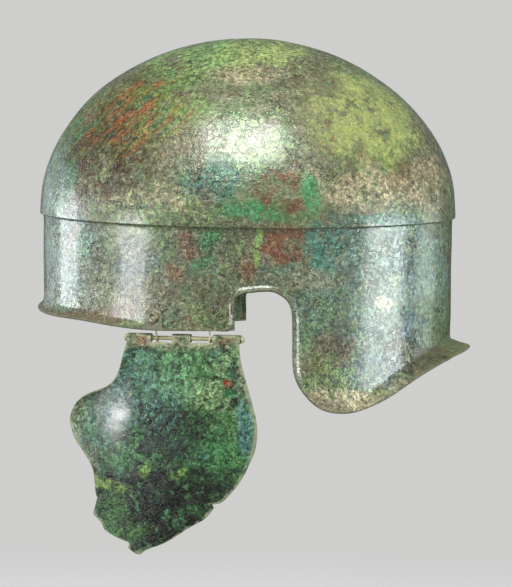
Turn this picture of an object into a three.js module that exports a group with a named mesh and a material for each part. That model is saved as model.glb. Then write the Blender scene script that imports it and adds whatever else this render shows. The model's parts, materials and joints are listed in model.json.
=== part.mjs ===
// Ancient Greek bronze helmet with one hinged cheek-piece, beaten from sheet.
// Millimetres. +Z is up, the face looks along -X and the wearer's left is -Y.
// The origin is the inside of the crown, where the head carries the bowl.
// Plan angles run in degrees from the middle of the brow, positive to the left.
// Drops are measured down from the ridge that runs round the foot of the dome.

import * as THREE from 'three';

const deg = Math.PI / 180;

// Dome
const ridgeFront = 115.8;
const ridgeRear = 112.6;
const ridgeHalfWidth = 92;
const domeHeight = 95.4;
const domeSlump = 0.08;
const ridgeDip = 7.4;
const ridgeDipPower = 1.1;
const wall = 1.4;

// Ridge step and side wall
const ridgeStep = 1.7;
const ridgeFoot = 3.2;
const wallLean = 0.7;

// Lower edge of the wall
const browDrop = 55;
const earDrop = 34;
const lobeDrop = 98.7;
const neckDrop = 71;
const browLip = 6.6;
const earLip = 5;
const lobeLip = 8.2;
const neckLip = 6.2;
const browFlare = 3.3;
const earFlare = 1.8;
const neckFlare = 10.5;
const flarePower = 1.7;

// Fits
const gap = 0.3;

// Hinge
const hingeAngle = 73.5;
const hingeLength = 62;
const pinRadius = 1.1;
const pinPlay = 0.25;
const pinBelowEdge = 4.1;
const pinInset = 4;
const beadRadius = 1.9;
const beadLength = 1.3;

// Cheek-piece
const cheekPlate = 1;
const cheekReach = 114.5;
const cheekFront = 66;
const cheekRear = 39.5;
const cheekBulge = 2;
const cheekBend = 140;
const cheekTuck = 6;
const cheekLip = 0.9;
const cheekLipWidth = 0.05;
const cheekLipEnd = 0.9;
const cheekLipFade = 0.2;
const cheekSettle = 0.35;
const cheekLineWidth = 0.065;

// Rivet, stud, plate and wires
const rivetAngle = 65.4;
const rivetAboveEdge = 6.4;
const rivetShank = 1.5;
const rivetHead = 3;
const rivetHeight = 1.3;
const innerHead = 2.7;
const innerHeadHeight = 0.8;
const studAngle = 81;
const studBase = 0.6;
const plateHalfWidth = 5;
const plateThickness = 0.7;
const wireRadius = 0.5;
const frontWireAt = -14.6;
const rearWireAt = 14.4;
const wireSteps = 28;
const turnedSides = 16;
const pinSides = 14;
const holeSides = 8;

// Where each stretch of the lower edge runs, how wide its lip is and how far it flares.
const stretches = {
  brow: { from: 0, to: browDrop, lip: browLip, flare: browFlare },
  earFront: { from: browDrop, to: earDrop, lip: earLip, flare: earFlare },
  earRear: { from: earDrop, to: lobeDrop, lip: earLip, flare: earFlare },
  neck: { from: lobeDrop, to: neckDrop, lip: lobeLip, flare: neckFlare },
  nape: { from: lobeDrop, to: neckDrop, lip: neckLip, flare: neckFlare },
};

// One row per station of the lower edge, from the brow to the nape. ridge is the plan
// angle where its line of the wall leaves the ridge, edge the plan angle where it ends,
// drop the share of its stretch, aim the way the lip points (0 down, 90 to the rear),
// lip and flare the shares of the stretch's lip and flare, steps the lines to the next,
// and corner marks the one sharp corner, in front of the ear.
const edgeRows = [
  { on: 'brow', ridge: 0, edge: 0, drop: 0.953, aim: 0, lip: 0.74, flare: 1, steps: 4 },
  { on: 'brow', ridge: 20, edge: 20, drop: 0.975, aim: 0, lip: 1, flare: 0.9, steps: 4 },
  { on: 'brow', ridge: 40, edge: 40, drop: 0.976, aim: 0, lip: 1, flare: 0.73, steps: 2 },
  { on: 'brow', ridge: 51, edge: 51, drop: 1, aim: 0, lip: 0.82, flare: 0.48, steps: 2 },
  { on: 'brow', ridge: 61, edge: 61.5, drop: 1.018, aim: 0, lip: 0.68, flare: 0.33, steps: 2 },
  { on: 'brow', ridge: 70, edge: 72, drop: 1.016, aim: 0, lip: 0.38, flare: 0.06, steps: 2 },
  { on: 'brow', ridge: 77, edge: 83, drop: 1.004, aim: 0, lip: 0.3, flare: 0.06, steps: 1 },
  {
    on: 'earFront', ridge: 80.5, edge: 87.5, drop: 0.01, aim: 70, lip: 1, flare: 0.5, steps: 1,
    corner: true,
  },
  { on: 'earFront', ridge: 85, edge: 87.3, drop: 0.43, aim: 88, lip: 0.92, flare: 0.9, steps: 1 },
  { on: 'earFront', ridge: 89, edge: 87.4, drop: 0.76, aim: 80, lip: 0.9, flare: 0.9, steps: 1 },
  { on: 'earFront', ridge: 92.5, edge: 89.1, drop: 0.925, aim: 53, lip: 0.88, flare: 0.9, steps: 2 },
  { on: 'earFront', ridge: 96.5, edge: 93, drop: 0.995, aim: 17, lip: 0.66, flare: 0.9, steps: 2 },
  { on: 'earRear', ridge: 100.5, edge: 98, drop: 0, aim: -23, lip: 0.62, flare: 0.9, steps: 2 },
  { on: 'earRear', ridge: 104.5, edge: 101.6, drop: 0.07, aim: -55, lip: 0.95, flare: 0.9, steps: 1 },
  { on: 'earRear', ridge: 107.5, edge: 103, drop: 0.145, aim: -82, lip: 1, flare: 1, steps: 1 },
  { on: 'earRear', ridge: 110.5, edge: 103.4, drop: 0.28, aim: -90, lip: 1.02, flare: 1, steps: 1 },
  { on: 'earRear', ridge: 113.5, edge: 103.5, drop: 0.42, aim: -90, lip: 1.02, flare: 1, steps: 1 },
  { on: 'earRear', ridge: 116.5, edge: 103.6, drop: 0.575, aim: -88, lip: 0.98, flare: 0.95, steps: 1 },
  { on: 'earRear', ridge: 119.5, edge: 104.6, drop: 0.72, aim: -76, lip: 0.72, flare: 0.78, steps: 1 },
  { on: 'earRear', ridge: 122.5, edge: 107.4, drop: 0.85, aim: -62, lip: 0.66, flare: 0.5, steps: 1 },
  { on: 'earRear', ridge: 125.5, edge: 111.6, drop: 0.958, aim: -34, lip: 0.6, flare: 0.22, steps: 1 },
  { on: 'neck', ridge: 129.5, edge: 117.8, drop: 0, aim: 10, lip: 0.34, flare: 0.02, steps: 1 },
  { on: 'neck', ridge: 134, edge: 124, drop: 0.05, aim: 27, lip: 0.67, flare: 0.1, steps: 1 },
  { on: 'neck', ridge: 139, edge: 131.5, drop: 0.245, aim: 30, lip: 1, flare: 0.32, steps: 1 },
  { on: 'neck', ridge: 144.5, edge: 138.5, drop: 0.51, aim: 24, lip: 0.92, flare: 0.57, steps: 1 },
  { on: 'nape', ridge: 150, edge: 144.6, drop: 0.7, aim: 22, lip: 1, flare: 0.74, steps: 1 },
  { on: 'nape', ridge: 156, edge: 150.5, drop: 0.825, aim: 14, lip: 0.95, flare: 0.84, steps: 2 },
  { on: 'nape', ridge: 164, edge: 159, drop: 0.94, aim: 7, lip: 0.82, flare: 0.92, steps: 2 },
  { on: 'nape', ridge: 172, edge: 169, drop: 0.99, aim: 3, lip: 0.72, flare: 0.97, steps: 2 },
  { on: 'nape', ridge: 180, edge: 180, drop: 1, aim: 0, lip: 0.72, flare: 1, steps: 0 },
];

// Height of each ring of the dome as an angle above the ridge, from the crown down.
const domeRings = [79, 68, 57, 46, 36, 26, 17, 8];

// Section of the ridge: the outside steps in below it, the inside a little above.
const ridgeRows = [
  { outIn: 0, outDown: 0, inIn: 0, inDown: -0.28 },
  { outIn: 0.15, outDown: 0.28, inIn: 0.1, inDown: -0.08 },
  { outIn: 0.72, outDown: 0.6, inIn: 0.7, inDown: 0.3 },
  { outIn: 1, outDown: 1, inIn: 1, inDown: 0.75 },
];

// Shares of the wall from the ridge to the fold, and of the lip from the fold to the edge.
const wallShares = [0.18, 0.36, 0.55, 0.74, 0.88, 1];
const lipShares = [0.35, 0.7, 1];

// One row per level of the cheek-piece below its pin: the height as a share of its
// reach, and its front and rear edges as shares of its front and rear widths.
const cheekRows = [
  { down: 0.024, front: 0.467, rear: 0.77 },
  { down: 0.07, front: 0.49, rear: 0.775 },
  { down: 0.13, front: 0.518, rear: 0.807 },
  { down: 0.191, front: 0.565, rear: 0.858 },
  { down: 0.23, front: 0.64, rear: 0.89 },
  { down: 0.256, front: 0.742, rear: 0.91 },
  { down: 0.275, front: 0.835, rear: 0.925 },
  { down: 0.312, front: 0.932, rear: 0.95 },
  { down: 0.366, front: 0.994, rear: 0.985 },
  { down: 0.417, front: 1, rear: 1 },
  { down: 0.481, front: 0.955, rear: 0.985 },
  { down: 0.52, front: 0.9, rear: 0.955 },
  { down: 0.557, front: 0.847, rear: 0.91 },
  { down: 0.59, front: 0.805, rear: 0.868 },
  { down: 0.624, front: 0.779, rear: 0.815 },
  { down: 0.67, front: 0.766, rear: 0.73 },
  { down: 0.717, front: 0.76, rear: 0.61 },
  { down: 0.745, front: 0.748, rear: 0.517 },
  { down: 0.755, front: 0.745, rear: 0.397 },
  { down: 0.773, front: 0.755, rear: 0.435 },
  { down: 0.8, front: 0.772, rear: 0.365 },
  { down: 0.83, front: 0.794, rear: 0.28 },
  { down: 0.865, front: 0.718, rear: 0.1 },
  { down: 0.901, front: 0.68, rear: -0.05 },
  { down: 0.934, front: 0.561, rear: -0.21 },
  { down: 0.953, front: 0.452, rear: -0.31 },
  { down: 0.977, front: 0.471, rear: -0.5 },
  { down: 1, front: 0.409, rear: -0.6 },
];

// Gaps between the three knuckles, as shares of the hinge length from its front end.
const knuckleGaps = [
  { from: 0.216, to: 0.402 },
  { from: 0.562, to: 0.76 },
];
const rollTurn = 290;
const rollSteps = 10;

function mix(from, to, share) {
  return from + (to - from) * share;
}

function smooth(share) {
  const t = Math.min(Math.max(share, 0), 1);
  return t * t * (3 - 2 * t);
}

// A point of the ridge's plan at a plan angle, moved inward by inset, and its normal.
function planPoint(angle, inset) {
  const along = -Math.cos(angle * deg);
  const side = -Math.sin(angle * deg);
  const reach = along < 0 ? ridgeFront : ridgeRear;
  const out = new THREE.Vector3(along / reach, side / ridgeHalfWidth, 0).normalize();
  const point = new THREE.Vector3(reach * along, ridgeHalfWidth * side, 0);
  return { point: point.addScaledVector(out, -inset), out };
}

// The ridge sinks over the ears and rises to the brow and the nape.
function ridgeLevel(angle) {
  const sunk = Math.pow(Math.abs(Math.sin(angle * deg)), ridgeDipPower);
  return wall - domeHeight - ridgeDip * sunk;
}

function bowlPoint(angle, inset, drop) {
  const point = planPoint(angle, inset).point;
  point.z = ridgeLevel(angle) - drop;
  return point;
}

function wallInset(share) {
  return ridgeStep + wallLean * (1 - (1 - share) * (1 - share));
}

// Length along the wall for one degree of plan angle.
function arcPerDegree(angle) {
  return bowlPoint(angle - 0.5, ridgeStep, 0).distanceTo(bowlPoint(angle + 0.5, ridgeStep, 0));
}

// A row of the edge table in millimetres and degrees.
function edgeStation(row) {
  const stretch = stretches[row.on];
  const drop = mix(stretch.from, stretch.to, row.drop);
  const lip = stretch.lip * row.lip;
  const back = lip * Math.sin(row.aim * deg) / arcPerDegree(row.edge);
  return {
    ridge: row.ridge,
    edge: row.edge,
    drop,
    fold: row.edge - back,
    foldDrop: drop - lip * Math.cos(row.aim * deg),
    flare: stretch.flare * row.flare,
  };
}

// Value of one column between two rows, rounded except at a corner and at the ends.
function blend(rows, index, share, key) {
  const here = rows[index][key];
  const next = rows[index + 1][key];
  const before = index > 0 && !edgeRows[index].corner ? rows[index - 1][key] : here;
  const after = index + 2 < rows.length && !edgeRows[index + 1].corner ? rows[index + 2][key] : next;
  const slopeHere = before === here ? next - here : (next - before) / 2;
  const slopeNext = after === next ? next - here : (after - here) / 2;
  const t2 = share * share;
  const t3 = t2 * share;
  return here * (2 * t3 - 3 * t2 + 1) + slopeHere * (t3 - 2 * t2 + share)
    + next * (3 * t2 - 2 * t3) + slopeNext * (t3 - t2);
}

// Every line of one side of the wall, from the middle of the brow to the nape.
function sideStations() {
  const rows = edgeRows.map(edgeStation);
  const stations = [];
  for (let index = 0; index + 1 < rows.length; index++) {
    for (let step = 0; step < edgeRows[index].steps; step++) {
      const station = {};
      for (const key of Object.keys(rows[0])) {
        station[key] = blend(rows, index, step / edgeRows[index].steps, key);
      }
      stations.push(station);
    }
  }
  stations.push(rows[rows.length - 1]);
  return stations;
}

// Outside of the wall at a share of the way from fold to edge, lifted off by some amount.
function lipPoint(station, share, lift) {
  const angle = mix(station.fold, station.edge, share);
  const drop = mix(station.foldDrop, station.drop, share);
  const out = station.flare * Math.pow(share, flarePower);
  return bowlPoint(angle, wallInset(1) - out - lift, drop);
}

// Closed shell between an outer and an inner grid of points. keep says which cells are
// there, wraps joins the last column to the first, pole makes the first row one point,
// and hole is a round hole about one grid point, with its two rings of holeSides points.
function shell({ outer, inner, keep, wraps, pole, hole }) {
  const rows = outer.length;
  const columns = outer[0].length;
  const positions = [];
  const index = [];
  const numbers = new Map();
  const number = (side, row, column) => {
    const across = pole && row === 0 ? 0 : (column + columns) % columns;
    const key = `${side} ${row} ${across}`;
    if (!numbers.has(key)) {
      numbers.set(key, positions.length / 3);
      const grid = side === 0 ? outer : inner;
      positions.push(...grid[row][across].toArray());
    }
    return numbers.get(key);
  };
  const add = (a, b, c) => {
    if (a !== b && b !== c && c !== a) {
      index.push(a, b, c);
    }
  };
  const quad = (a, b, c, d) => {
    add(a, b, c);
    add(a, c, d);
  };
  const cells = wraps ? columns : columns - 1;
  const there = (row, column) => {
    const across = wraps ? (column + columns) % columns : column;
    return row >= 0 && row < rows - 1 && across >= 0 && across < cells && keep(row, across);
  };
  const nearHole = (row, column) => hole
    && row >= hole.row - 1 && row <= hole.row && column >= hole.column - 1 && column <= hole.column;
  for (let row = 0; row < rows - 1; row++) {
    for (let column = 0; column < cells; column++) {
      if (!there(row, column)) {
        continue;
      }
      const corners = [[row, column], [row + 1, column], [row + 1, column + 1], [row, column + 1]];
      const out = corners.map(([r, c]) => number(0, r, c));
      const back = corners.map(([r, c]) => number(1, r, c));
      if (!nearHole(row, column)) {
        quad(out[0], out[1], out[2], out[3]);
        quad(back[3], back[2], back[1], back[0]);
      }
      const beside = [[row, column - 1], [row + 1, column], [row, column + 1], [row - 1, column]];
      beside.forEach(([r, c], side) => {
        const end = (side + 1) % 4;
        if (!there(r, c) && !(pole && side === 3 && row === 0)) {
          quad(out[end], out[side], back[side], back[end]);
        }
      });
    }
  }
  if (hole) {
    const ring = [[-1, -1], [0, -1], [1, -1], [1, 0], [1, 1], [0, 1], [-1, 1], [-1, 0]];
    const start = positions.length / 3;
    hole.outer.forEach((point) => positions.push(...point.toArray()));
    hole.inner.forEach((point) => positions.push(...point.toArray()));
    ring.forEach(([r, c], at) => {
      const to = (at + 1) % ring.length;
      const [r2, c2] = ring[to];
      const outA = number(0, hole.row + r, hole.column + c);
      const outB = number(0, hole.row + r2, hole.column + c2);
      const backA = number(1, hole.row + r, hole.column + c);
      const backB = number(1, hole.row + r2, hole.column + c2);
      quad(outA, outB, start + to, start + at);
      quad(start + holeSides + at, start + holeSides + to, backB, backA);
      quad(start + at, start + to, start + holeSides + to, start + holeSides + at);
    });
  }
  const geometry = new THREE.BufferGeometry();
  geometry.setAttribute('position', new THREE.Float32BufferAttribute(positions, 3));
  geometry.setIndex(index);
  return geometry;
}

// Inner grid: each point moved square to the outer surface by the sheet's thickness.
function offsetInward(grid, row, column, thickness, wraps) {
  const columns = grid[0].length;
  const left = wraps ? (column + columns - 1) % columns : Math.max(column - 1, 0);
  const right = wraps ? (column + 1) % columns : Math.min(column + 1, columns - 1);
  const up = Math.max(row - 1, 0);
  const down = Math.min(row + 1, grid.length - 1);
  const across = grid[row][right].clone().sub(grid[row][left]);
  const along = grid[down][column].clone().sub(grid[up][column]);
  const normal = along.cross(across).normalize();
  return grid[row][column].clone().addScaledVector(normal, -thickness);
}

// The points of a round hole through a surface given by place(across, down).
// They start at the upper front corner and go down, matching the ring of the shell.
function holeRing(radius, place) {
  return Array.from({ length: holeSides }, (_, at) => {
    const turn = (225 - 360 * at / holeSides) * deg;
    return place(radius * Math.cos(turn), radius * Math.sin(turn));
  });
}

const side = sideStations();
const lines = side.concat(side.slice(1, -1).reverse().map((station) => ({
  ...station, ridge: -station.ridge, edge: -station.edge, fold: -station.fold,
})));

// Edge of the brow near a plan angle, as a station of its own.
function browStation(angle) {
  const after = side.findIndex((station) => station.edge > angle);
  const from = side[after - 1];
  const to = side[after];
  const share = (angle - from.edge) / (to.edge - from.edge);
  const station = {};
  for (const key of Object.keys(from)) {
    station[key] = mix(from[key], to[key], share);
  }
  return station;
}

// Outside of the wall near the brow at a plan angle and drop, lifted off by some amount.
function browPoint(angle, drop, lift) {
  const station = browStation(angle);
  if (drop <= station.foldDrop) {
    return bowlPoint(angle, wallInset(drop / station.foldDrop) - lift, drop);
  }
  return lipPoint(station, (drop - station.foldDrop) / (station.drop - station.foldDrop), lift);
}

const rivetDrop = browStation(rivetAngle).drop - rivetAboveEdge;
const studDrop = browStation(studAngle).drop - rivetAboveEdge;
const rivetArc = arcPerDegree(rivetAngle);

// Bowl: dome, ridge, wall, ear openings, brow rim and neck guard from one sheet.
function bowlGeometry() {
  const outer = [];
  const inner = [];
  const crown = new THREE.Vector3(0, 0, wall);
  const crownInside = new THREE.Vector3(0, 0, 0);
  outer.push(lines.map(() => crown.clone()));
  inner.push(lines.map(() => crownInside.clone()));
  for (const height of domeRings) {
    const rise = Math.sin(height * deg);
    const ring = (inset, top) => lines.map((line) => {
      const rearward = Math.max(0, -Math.cos(line.ridge * deg));
      const spread = Math.pow(Math.cos(height * deg), 1 + domeSlump * rearward);
      const point = planPoint(line.ridge, inset).point.multiplyScalar(spread);
      point.z = mix(ridgeLevel(line.ridge), top, rise);
      return point;
    });
    outer.push(ring(0, wall));
    inner.push(ring(wall, 0));
  }
  for (const row of ridgeRows) {
    outer.push(lines.map((line) => bowlPoint(line.ridge, ridgeStep * row.outIn, ridgeFoot * row.outDown)));
    inner.push(lines.map((line) => bowlPoint(
      line.ridge, wall + ridgeStep * row.inIn, ridgeFoot * row.inDown)));
  }
  for (const share of wallShares) {
    const down = (line) => mix(ridgeFoot, line.foldDrop, share);
    const angle = (line) => mix(line.ridge, line.fold, share);
    outer.push(lines.map((line) => bowlPoint(angle(line), wallInset(share), down(line))));
    inner.push(lines.map((line) => bowlPoint(angle(line), wallInset(share) + wall, down(line))));
  }
  const foldRow = outer.length - 1;
  for (const share of lipShares) {
    outer.push(lines.map((line) => lipPoint(line, share, 0)));
  }
  for (let row = foldRow + 1; row < outer.length; row++) {
    inner.push(lines.map((line, column) => offsetInward(outer, row, column, wall, true)));
  }
  const nearest = side.reduce((best, station, at) => (
    Math.abs(station.fold - rivetAngle) < Math.abs(side[best].fold - rivetAngle) ? at : best), 0);
  const place = (lift) => (across, down) => (
    browPoint(rivetAngle + across / rivetArc, rivetDrop + down, lift));
  return shell({
    outer,
    inner,
    keep: () => true,
    wraps: true,
    pole: true,
    hole: {
      row: foldRow,
      column: nearest,
      outer: holeRing(rivetShank + gap, place(0)),
      inner: holeRing(rivetShank + gap, place(-wall)),
    },
  });
}

// What is left of the plate that the hinge was riveted to, on the outside of the brow.
const plateRows = [
  { down: -0.92, width: 0.45 },
  { down: -0.6, width: 0.86 },
  { down: 0, width: 1 },
  { down: 0.6, width: 1.02 },
  { down: 1, width: 0.98 },
  { down: 1.28, width: 1.06 },
];

function plateGeometry() {
  const grid = (lift) => plateRows.map((row) => [-1, -0.5, 0, 0.5, 1].map((across) => {
    const angle = rivetAngle + across * row.width * plateHalfWidth / rivetArc;
    return browPoint(angle, rivetDrop + row.down * plateHalfWidth, lift);
  }));
  const place = (lift) => (across, down) => (
    browPoint(rivetAngle + across / rivetArc, rivetDrop + down, lift));
  return shell({
    outer: grid(gap + plateThickness),
    inner: grid(gap),
    keep: () => true,
    wraps: false,
    pole: false,
    hole: {
      row: 2,
      column: 2,
      outer: holeRing(rivetShank + gap, place(gap + plateThickness)),
      inner: holeRing(rivetShank + gap, place(gap)),
    },
  });
}

// Turned piece about the Y axis from a closed profile of radius and height pairs.
function turned(profile, segments) {
  return new THREE.LatheGeometry(profile.map(([radius, height]) => (
    new THREE.Vector2(radius, height))), segments);
}

// Rivet with a worn, sunken head outside and a flat head inside the bowl.
function rivetGeometry() {
  const seat = gap + plateThickness + gap;
  const inside = -wall - gap - 2 * wireRadius - gap;
  return turned([
    [0, seat + rivetHeight * 0.35],
    [rivetHead * 0.35, seat + rivetHeight * 0.4],
    [rivetHead * 0.66, seat + rivetHeight],
    [rivetHead * 0.88, seat + rivetHeight * 0.85],
    [rivetHead, seat + rivetHeight * 0.3],
    [rivetHead * 0.97, seat],
    [rivetShank, seat],
    [rivetShank, inside],
    [innerHead, inside],
    [innerHead * 0.85, inside - innerHeadHeight],
    [0, inside - innerHeadHeight],
  ].reverse(), turnedSides);
}

// Plain stud inside the brow that holds the rear wire.
function studGeometry() {
  const seat = -wall - gap;
  const inside = seat - studBase - gap - 2 * wireRadius - gap;
  return turned([
    [0, seat],
    [innerHead, seat],
    [innerHead, seat - studBase],
    [rivetShank, seat - studBase],
    [rivetShank, inside],
    [innerHead, inside],
    [innerHead * 0.85, inside - innerHeadHeight],
    [0, inside - innerHeadHeight],
  ].reverse(), turnedSides);
}

// Frame of a rivet or stud: its foot on the wall, the way out, to the rear and up.
function wallFrame(angle, drop) {
  const foot = browPoint(angle, drop, 0);
  const out = planPoint(angle, 0).out;
  const rear = browPoint(angle + 0.5, drop, 0).sub(browPoint(angle - 0.5, drop, 0));
  rear.addScaledVector(out, -rear.dot(out)).normalize();
  return { foot, out, rear, up: new THREE.Vector3(0, 0, 1) };
}

const hingeMiddle = browStation(hingeAngle);
const hingeOut = planPoint(hingeAngle, 0).out;
const hingeCentre = planPoint(hingeAngle, wallInset(1) + pinInset).point;
hingeCentre.z = ridgeLevel(hingeAngle) - hingeMiddle.drop - pinBelowEdge;
const hingeTurn = Math.atan2(hingeOut.x, -hingeOut.y);

// A point near the hinge: along the pin to the rear, outward and up from its middle.
function hingePoint(along, out, up) {
  return new THREE.Vector3(along, -out, up)
    .applyAxisAngle(new THREE.Vector3(0, 0, 1), hingeTurn)
    .add(hingeCentre);
}

// Wire: an eye round the post, a run down behind the wall and a hook round the pin.
function wireGeometry(frame, eyeDepth, along) {
  const eye = rivetShank + gap + wireRadius;
  const hook = pinRadius + gap + wireRadius;
  const points = [];
  for (const turn of [-60, -25, 10, 45, 80, 115, 150, 180]) {
    points.push(frame.foot.clone()
      .addScaledVector(frame.out, -eyeDepth)
      .addScaledVector(frame.rear, eye * Math.cos(turn * deg))
      .addScaledVector(frame.up, eye * Math.sin(turn * deg)));
  }
  const last = points[points.length - 1];
  const ready = hingePoint(along, hook * 0.75, hook * 1.35);
  points.push(last.clone().lerp(ready, 0.4).addScaledVector(frame.rear, -eye * 0.15));
  points.push(last.clone().lerp(ready, 0.75));
  for (const turn of [42, 10, -25, -60, -95, -130, -165, -200]) {
    points.push(hingePoint(along, hook * Math.cos(turn * deg), hook * Math.sin(turn * deg)));
  }
  const path = new THREE.CatmullRomCurve3(points, false, 'centripetal');
  const section = new THREE.Shape();
  section.absarc(0, 0, wireRadius, 0, 2 * Math.PI, false);
  return new THREE.ExtrudeGeometry(section, {
    steps: wireSteps, extrudePath: path, bevelEnabled: false, curveSegments: 4,
  });
}

// Hinge pin along X with its two ends hammered into beads.
function pinGeometry() {
  const half = hingeLength / 2 + gap;
  const profile = [
    [0, -half - beadLength],
    [beadRadius * 0.7, -half - beadLength * 0.85],
    [beadRadius, -half - beadLength * 0.45],
    [beadRadius * 0.85, -half],
    [pinRadius, -half],
    [pinRadius, half],
    [beadRadius * 0.85, half],
    [beadRadius, half + beadLength * 0.45],
    [beadRadius * 0.7, half + beadLength * 0.85],
    [0, half + beadLength],
  ];
  return turned(profile, pinSides).rotateZ(-Math.PI / 2);
}

// Shares across the cheek-piece, with lines at both sides of each knuckle gap.
function cheekShares() {
  const stops = [0, 0.02, 0.06];
  knuckleGaps.forEach(({ from, to }) => stops.push(from, to));
  stops.push(0.94, 0.98, 1);
  const shares = [];
  for (let at = 0; at + 1 < stops.length; at++) {
    const width = stops[at + 1] - stops[at];
    const parts = Math.max(1, Math.round(width / cheekLineWidth));
    for (let part = 0; part < parts; part++) {
      shares.push(stops[at] + width * part / parts);
    }
  }
  shares.push(1);
  return shares;
}

// Cheek-piece about its pin: X along the pin, -Y outward, Z up.
function cheekGeometry() {
  const roll = pinRadius + pinPlay + cheekPlate;
  const shares = cheekShares();
  const outer = [];
  const inner = [];
  for (let step = rollSteps; step >= 0; step--) {
    const turn = rollTurn * deg * step / rollSteps;
    const ring = (radius) => shares.map((share) => new THREE.Vector3(
      hingeLength * (share - 0.5), -radius * Math.cos(turn), radius * Math.sin(turn)));
    outer.push(ring(roll));
    inner.push(ring(roll - cheekPlate));
  }
  const rollRows = outer.length;
  for (const row of cheekRows) {
    const down = row.down * cheekReach;
    outer.push(shares.map((share) => {
      const along = mix(-row.front * cheekFront, row.rear * cheekRear, share);
      const shaped = smooth(row.down / cheekSettle);
      const edge = Math.max(0, 1 - Math.min(share, 1 - share) / cheekLipWidth);
      const fade = smooth((cheekLipEnd - row.down) / cheekLipFade);
      const lip = cheekLip * edge * edge * shaped * fade;
      const out = roll + lip - cheekTuck * row.down * row.down
        + shaped * (cheekBulge - along * along / (2 * cheekBend));
      return new THREE.Vector3(along, -out, -down);
    }));
  }
  for (let row = rollRows; row < outer.length; row++) {
    inner.push(shares.map((share, column) => offsetInward(outer, row, column, cheekPlate, false)));
  }
  const inGap = (column) => knuckleGaps.some(({ from, to }) => (
    shares[column] > from - 1e-6 && shares[column + 1] < to + 1e-6));
  return shell({
    outer,
    inner,
    keep: (row, column) => row >= rollRows || !inGap(column),
    wraps: false,
    pole: false,
    hole: null,
  });
}

// Centre of mass of a closed geometry.
function centreOf(geometry) {
  const position = geometry.getAttribute('position');
  const corners = geometry.getIndex().array;
  const sum = new THREE.Vector3();
  let volume = 0;
  for (let at = 0; at < corners.length; at += 3) {
    const [a, b, c] = [0, 1, 2].map((k) => (
      new THREE.Vector3().fromBufferAttribute(position, corners[at + k])));
    const part = a.dot(b.clone().cross(c)) / 6;
    volume += part;
    sum.addScaledVector(a.add(b).add(c), part / 4);
  }
  return sum.divideScalar(volume);
}

function bronze(color, roughness, metalness) {
  return new THREE.MeshStandardMaterial({ color, roughness, metalness, side: THREE.FrontSide });
}

function piece(name, geometry, material) {
  const mesh = new THREE.Mesh(geometry, material);
  mesh.name = name;
  return mesh;
}

const helmet = new THREE.Group();
helmet.add(piece('helmet_bowl', bowlGeometry(), bronze(0x5f6347, 0.42, 0.75)));
helmet.add(piece('hinge_plate', plateGeometry(), bronze(0x8a7a6a, 0.7, 0.4)));

// The rivet stands square to the wall, with its worn head outside.
const rivetFrame = wallFrame(rivetAngle, rivetDrop);
const rivet = piece('hinge_rivet', rivetGeometry(), bronze(0x4a4a36, 0.55, 0.7));
rivet.position.copy(rivetFrame.foot);
rivet.quaternion.setFromUnitVectors(new THREE.Vector3(0, 1, 0), rivetFrame.out);
helmet.add(rivet);

const studFrame = wallFrame(studAngle, studDrop);
const stud = piece('wire_stud', studGeometry(), bronze(0x4a4a36, 0.55, 0.7));
stud.position.copy(studFrame.foot);
stud.quaternion.setFromUnitVectors(new THREE.Vector3(0, 1, 0), studFrame.out);
helmet.add(stud);

const frontDepth = wall + gap + wireRadius;
const rearDepth = frontDepth + studBase + gap;
const frontWire = wireGeometry(rivetFrame, frontDepth, frontWireAt);
const rearWire = wireGeometry(studFrame, rearDepth, rearWireAt);
helmet.add(piece('wire_front', frontWire, bronze(0x6b5a44, 0.5, 0.8)));
helmet.add(piece('wire_rear', rearWire, bronze(0x6b5a44, 0.5, 0.8)));

// The cheek-piece hangs plumb: it is turned on its pin until its centre is under it.
const swing = new THREE.Group();
swing.position.copy(hingeCentre);
swing.rotation.z = hingeTurn;
const cheekShape = cheekGeometry();
const centre = centreOf(cheekShape);
const cheek = piece('cheek_piece', cheekShape, bronze(0x3e4636, 0.45, 0.75));
cheek.rotation.x = Math.atan2(centre.y, -centre.z);
swing.add(cheek);
swing.add(piece('hinge_pin', pinGeometry(), bronze(0x7a6f5a, 0.5, 0.7)));
helmet.add(swing);

export default helmet;
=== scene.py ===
# %% [markdown]
# # An ancient Greek helmet, dressed in Blender
# The helmet was beaten out of bronze sheet about a millimetre and a half thick. It has
# lain in the ground for some two thousand years, so green, red-brown and cream
# corrosion grew over the metal, and cleaning and wax polished it to a sheen.
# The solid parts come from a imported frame. This lesson gives them their fine surface,
# which is rounded, hammered, stained and worn, and sets a floor, lights and a camera.

# %% Frame and tools
import json
import math

import bmesh
import bpy
from mathutils import Matrix, Vector, noise


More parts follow.
